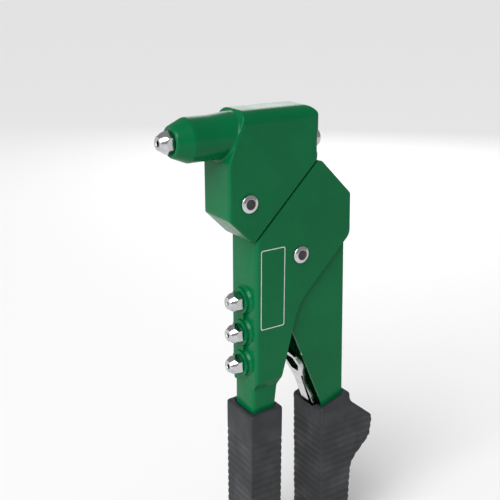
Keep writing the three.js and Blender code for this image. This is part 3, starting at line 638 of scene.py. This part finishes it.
@dataclass
class Nosepieces:
    """The fitted nosepiece and the three spares: hexagons turned down to a cone."""

    bench: Bench
    flats: float = 10
    hex_end: float = 3
    length: float = 7
    tip: float = 3.46
    shank: float = 3.6
    shank_foot: float = -2.9
    pilot: float = 2.4
    pilot_foot: float = -5.3
    rows: int = 12
    facets: int = 144

    def profile(self, bore: float) -> list[tuple[float, float]]:
        """The turned outline round one nosepiece's wall, before its hexagon is cut."""
        corner = self.flats / math.sqrt(3)
        cone = [
            (
                self.hex_end + (self.length - 0.25 - self.hex_end) * i / self.rows,
                corner + (self.tip - corner) * i / self.rows,
            )
            for i in range(self.rows + 1)
        ]
        return [
            (self.pilot_foot, bore),
            (self.pilot_foot, self.pilot - 0.2),
            (self.pilot_foot + 0.2, self.pilot),
            (self.shank_foot, self.pilot),
            (self.shank_foot, self.shank),
            (0, self.shank),
            (0, self.flats / 2 - 0.3),
            (0.5, corner),
            (1.4, corner),
            (2.2, corner),
            *cone,
            (self.length, self.tip - 0.25),
            (self.length, bore + 0.35),
            (self.length - 0.3, bore),
            (self.pilot_foot, bore),
        ]

    def cut_hexagon(self, mesh: bpy.types.Mesh, foot: Vector) -> None:
        """Moves in every point in front of the foot that stands outside the hexagon.

        Args:
            mesh: the turned mesh.
            foot: the middle of the hexagon's back.
        """
        sixth = TURN / 6
        for point in mesh.vertices:
            across, up = point.co.y - foot.y, point.co.z - foot.z
            radius = math.hypot(across, up)
            angle = math.atan2(across, up) % sixth
            limit = self.flats / 2 * MM / math.cos(angle - sixth / 2)
            if radius > limit:
                point.co.y = foot.y + across * limit / radius
                point.co.z = foot.z + up * limit / radius

    def build(self) -> None:
        """Makes all four, each with its own bore."""
        bores = {
            "nosepiece": 1.45,
            "spare_nosepiece_small": 0.75,
            "spare_nosepiece_medium": 1.05,
            "spare_nosepiece_large": 1.25,
        }
        for node, bore in bores.items():
            foot = self.bench.centre(node)
            foot.x = self.bench.span(node)[0].x + self.length * MM
            made = self.bench.spun(f"{node}_turned", self.profile(bore), foot, FORWARD, UP, self.facets)
            self.cut_hexagon(made.data, foot)
            self.bench.finish(made, Finish.CHROME, sharp=22)
            self.bench.stand_for(made, node)


# ---------------------------------------------------------------- the handles


@dataclass
class Handles:
    """The pressed shells of both handles, and the levers and fasteners inside them."""

    bench: Bench
    sheet_edge: float = 0.5
    part_edge: float = 0.25
    wrench_edge: float = 0.35

    def build(self) -> None:
        """Breaks the edges of the shells and of what they hold."""
        for node in ("front_handle_shell", "rear_handle_shell"):
            self.bench.bevelled(node, self.sheet_edge)
        for node in (
            "lever_fork",
            "draw_nut",
            "draw_bolt",
            "swivel_bush",
            "swivel_nut",
            "latch_pin",
            "bell_crank",
        ):
            self.bench.bevelled(node, self.part_edge)
        self.bench.bevelled("nosepiece_wrench", self.wrench_edge)


@dataclass
class Grips:
    """The two moulded grips, with finger ribs cut round them."""

    bench: Bench
    voxel: float = 0.75
    rounds: int = 5
    pitch: float = 4.4
    depth: float = 0.38
    top_margin: float = 16
    foot_margin: float = 9
    fade: float = 4
    facing: float = 0.2
    sharpness: int = 3

    def rib_cutter(self, node: str) -> Callable[[bpy.types.Mesh], None]:
        """The function that presses ribs into a grip's outside.

        Args:
            node: the grip's CAD node.

        Returns:
            A function that moves the points of the grip's mesh.
        """
        low, high = self.bench.span(node)
        middle = (low + high) / 2
        first, last = low.z + self.foot_margin * MM, high.z - self.top_margin * MM

        def cut(mesh: bpy.types.Mesh) -> None:
            """Presses the ribs in."""
            moves = []
            for point, normal in zip(mesh.vertices, mesh.vertex_normals):
                out = Vector((point.co.x - middle.x, point.co.y, 0))
                facing = normal.vector.dot(out.normalized()) > self.facing
                if not facing or not first < point.co.z < last:
                    moves.append(Vector())
                    continue
                run_in = self.fade * MM
                fade = min(1.0, (point.co.z - first) / run_in, (last - point.co.z) / run_in)
                wave = 0.5 + 0.5 * math.cos(TURN * (point.co.z - first) / (self.pitch * MM))
                moves.append(normal.vector * (-self.depth * MM * fade * wave**self.sharpness))
            for point, move in zip(mesh.vertices, moves):
                point.co += move

        return cut

    def build(self) -> None:
        """Makes both grips."""
        for node in ("front_grip", "rear_grip"):
            self.bench.flowed(node, f"{node}_moulding", self.voxel, self.rounds, self.rib_cutter(node))


@dataclass
class Latch:
    """The bent wire that holds the handles shut."""

    bench: Bench
    voxel: float = 0.32
    rounds: int = 6

    def build(self) -> None:
        """Makes the wire round and its eyes soft."""
        self.bench.flowed("latch_bail", "latch_wire", self.voxel, self.rounds)


@dataclass
class Label:
    """A plain framed label on the front handle's left side, with no lettering."""

    bench: Bench
    left: float = 18.6
    right: float = 33.8
    top: float = -59
    low: float = -103.5
    corner: float = 1.2
    border: float = 0.5
    proud: float = 0.1
    field_lift: float = 0.03
    sink: float = 0.02

    def panel(
        self, name: str, box: tuple[float, float, float, float], corner: float, lift: float
    ) -> bpy.types.Object:
        """A thin panel with round corners on the handle's side.

        Args:
            name: the piece's name.
            box: its left, right, low and top.
            corner: the radius of its corners.
            lift: how far it stands off the handle.

        Returns:
            The panel.
        """
        left, right, low, top = box
        side = self.bench.span("front_handle_shell")[0].y / MM
        shape = bmesh.new()
        spots = ((left, low), (right, low), (right, top), (left, top))
        corners = [shape.verts.new(self.bench.at(x, side - lift, z)) for x, z in spots]
        shape.faces.new(corners)
        bmesh.ops.bevel(
            shape, geom=corners, offset=corner * MM, affect="VERTICES", segments=6, profile=0.5, material=-1
        )
        grown = bmesh.ops.extrude_face_region(shape, geom=shape.faces[:])
        moved = [item for item in grown["geom"] if isinstance(item, bmesh.types.BMVert)]
        bmesh.ops.translate(shape, verts=moved, vec=ACROSS * (lift + self.sink) * MM)
        bmesh.ops.recalc_face_normals(shape, faces=shape.faces)
        return self.bench.piece(name, shape)

    def build(self) -> None:
        """Makes one thin frame with the handle's own enamel inside it."""
        outer = (self.left, self.right, self.low, self.top)
        inner = (
            self.left + self.border,
            self.right - self.border,
            self.low + self.border,
            self.top - self.border,
        )
        frame = self.panel("label_frame", outer, self.corner, self.proud)
        field = self.panel("label_field", inner, self.corner - self.border / 2, self.proud + self.field_lift)
        for piece, finish, slot in ((frame, Finish.PLATE, "chrome"), (field, Finish.ENAMEL, "enamel")):
            self.bench.finish(piece, finish)
            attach(piece, "front_handle")
            LOG.info("%s is laid on the front handle", piece.name)


# ---------------------------------------------------------------- the studio


@dataclass
class Studio:
    """The camera, the pale floor and the soft lights."""

    bench: Bench
    eye: tuple[float, float, float] = (-205.73, -345.36, 76.58)
    gaze: tuple[float, float, float] = (0.5188, 0.7934, -0.3186)
    lens: float = 59.63
    floor: float = 40.0
    sky: float = 0.34
    sun_from: tuple[float, float, float] = (-0.7, -0.4, 0.7)
    sun_strength: float = 2.9
    sun_width: float = 0.7

    def camera(self) -> None:
        """Places the camera and makes it the scene's."""
        data = bpy.data.cameras.new("camera")
        data.lens = self.lens
        data.sensor_width = 36
        data.clip_start = 0.01
        made = bpy.data.objects.new("camera", data)
        turn = Vector(self.gaze).to_track_quat("-Z", "Y")
        made.matrix_world = Matrix.LocRotScale(self.bench.at(*self.eye), turn, None)
        bpy.context.scene.collection.objects.link(made)
        bpy.context.scene.camera = made

    def light(self, name: str, place: tuple[float, float, float], size: float, power: float) -> None:
        """Hangs a soft light that faces the tool.

        Args:
            name: the light's name.
            place: where it hangs, in metres from the middle of the tool.
            size: its width, in metres.
            power: its power, in watts.
        """
        data = bpy.data.lights.new(name, "AREA")
        data.size = size
        data.energy = power
        made = bpy.data.objects.new(name, data)
        middle = self.bench.centre("front_handle_shell")
        spot = middle + Vector(place)
        turn = (middle - spot).to_track_quat("-Z", "Y")
        made.matrix_world = Matrix.LocRotScale(spot, turn, None)
        bpy.context.scene.collection.objects.link(made)

    def sun(self, name: str, place: tuple[float, float, float], strength: float) -> None:
        """Shines one wide soft light on everything from far away.

        Args:
            name: the light's name.
            place: the direction that it comes from.
            strength: its strength, in watts to the square metre.
        """
        data = bpy.data.lights.new(name, "SUN")
        data.energy = strength
        data.angle = self.sun_width
        made = bpy.data.objects.new(name, data)
        made.matrix_world = (-Vector(place)).to_track_quat("-Z", "Y").to_matrix().to_4x4()
        bpy.context.scene.collection.objects.link(made)

    def build(self) -> None:
        """Sets up the floor, the sky, the lights and the camera."""
        shape = bmesh.new()
        bmesh.ops.create_grid(shape, x_segments=1, y_segments=1, size=self.floor)
        bmesh.ops.translate(shape, verts=shape.verts, vec=UP * self.bench.cad_box[0][2])
        floor = self.bench.piece("floor", shape)
        recipe = Recipe("pale_floor")
        recipe.set(Base_Color=(0.86, 0.86, 0.86, 1), Roughness=0.7)
        floor.data.materials.append(recipe.material)
        floor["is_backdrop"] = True
        world = bpy.data.worlds.new("pale_sky")
        world.use_nodes = True
        sky = world.node_tree
        soft = sky.nodes["Background"]
        soft.inputs["Color"].default_value = (1, 1, 1, 1)
        soft.inputs["Strength"].default_value = self.sky
        seen = sky.nodes.new("ShaderNodeBackground")
        seen.inputs["Color"].default_value = (1, 1, 1, 1)
        mix = sky.nodes.new("ShaderNodeMixShader")
        path = sky.nodes.new("ShaderNodeLightPath")
        sky.links.new(path.outputs["Is Camera Ray"], mix.inputs[0])
        sky.links.new(soft.outputs[0], mix.inputs[1])
        sky.links.new(seen.outputs[0], mix.inputs[2])
        sky.links.new(mix.outputs[0], sky.nodes["World Output"].inputs["Surface"])
        bpy.context.scene.world = world
        bpy.context.scene.view_settings.view_transform = "Standard"
        self.sun("daylight", self.sun_from, self.sun_strength)
        self.light("front_box", (-1.0, -0.15, 0.35), 0.8, 4)
        self.light("back_box", (0.8, 0.9, 0.5), 0.7, 3)
        self.camera()


def dress_the_rest(bench: Bench) -> None:
    """Gives every CAD node that still shows its own finish."""
    for node, thing in bench.frame["nodes"].items():
        if not thing.hide_render:
            thing.data.materials.clear()
            thing.data.materials.append(bench.materials[SLOT_FINISH[bench.slot_of[node]]])
            LOG.info("%s keeps its own shape", node)


def main() -> None:
    """Builds the studio and every sub-assembly."""
    logging.basicConfig(level=logging.INFO, format="%(name)s: %(message)s")
    bench = Bench()
    Studio(bench).build()
    Head(bench).build()
    Pins(bench).build()
    Nosepieces(bench).build()
    Handles(bench).build()
    Grips(bench).build()
    Latch(bench).build()
    Label(bench).build()
    dress_the_rest(bench)


if __name__ == "__main__":
    main()
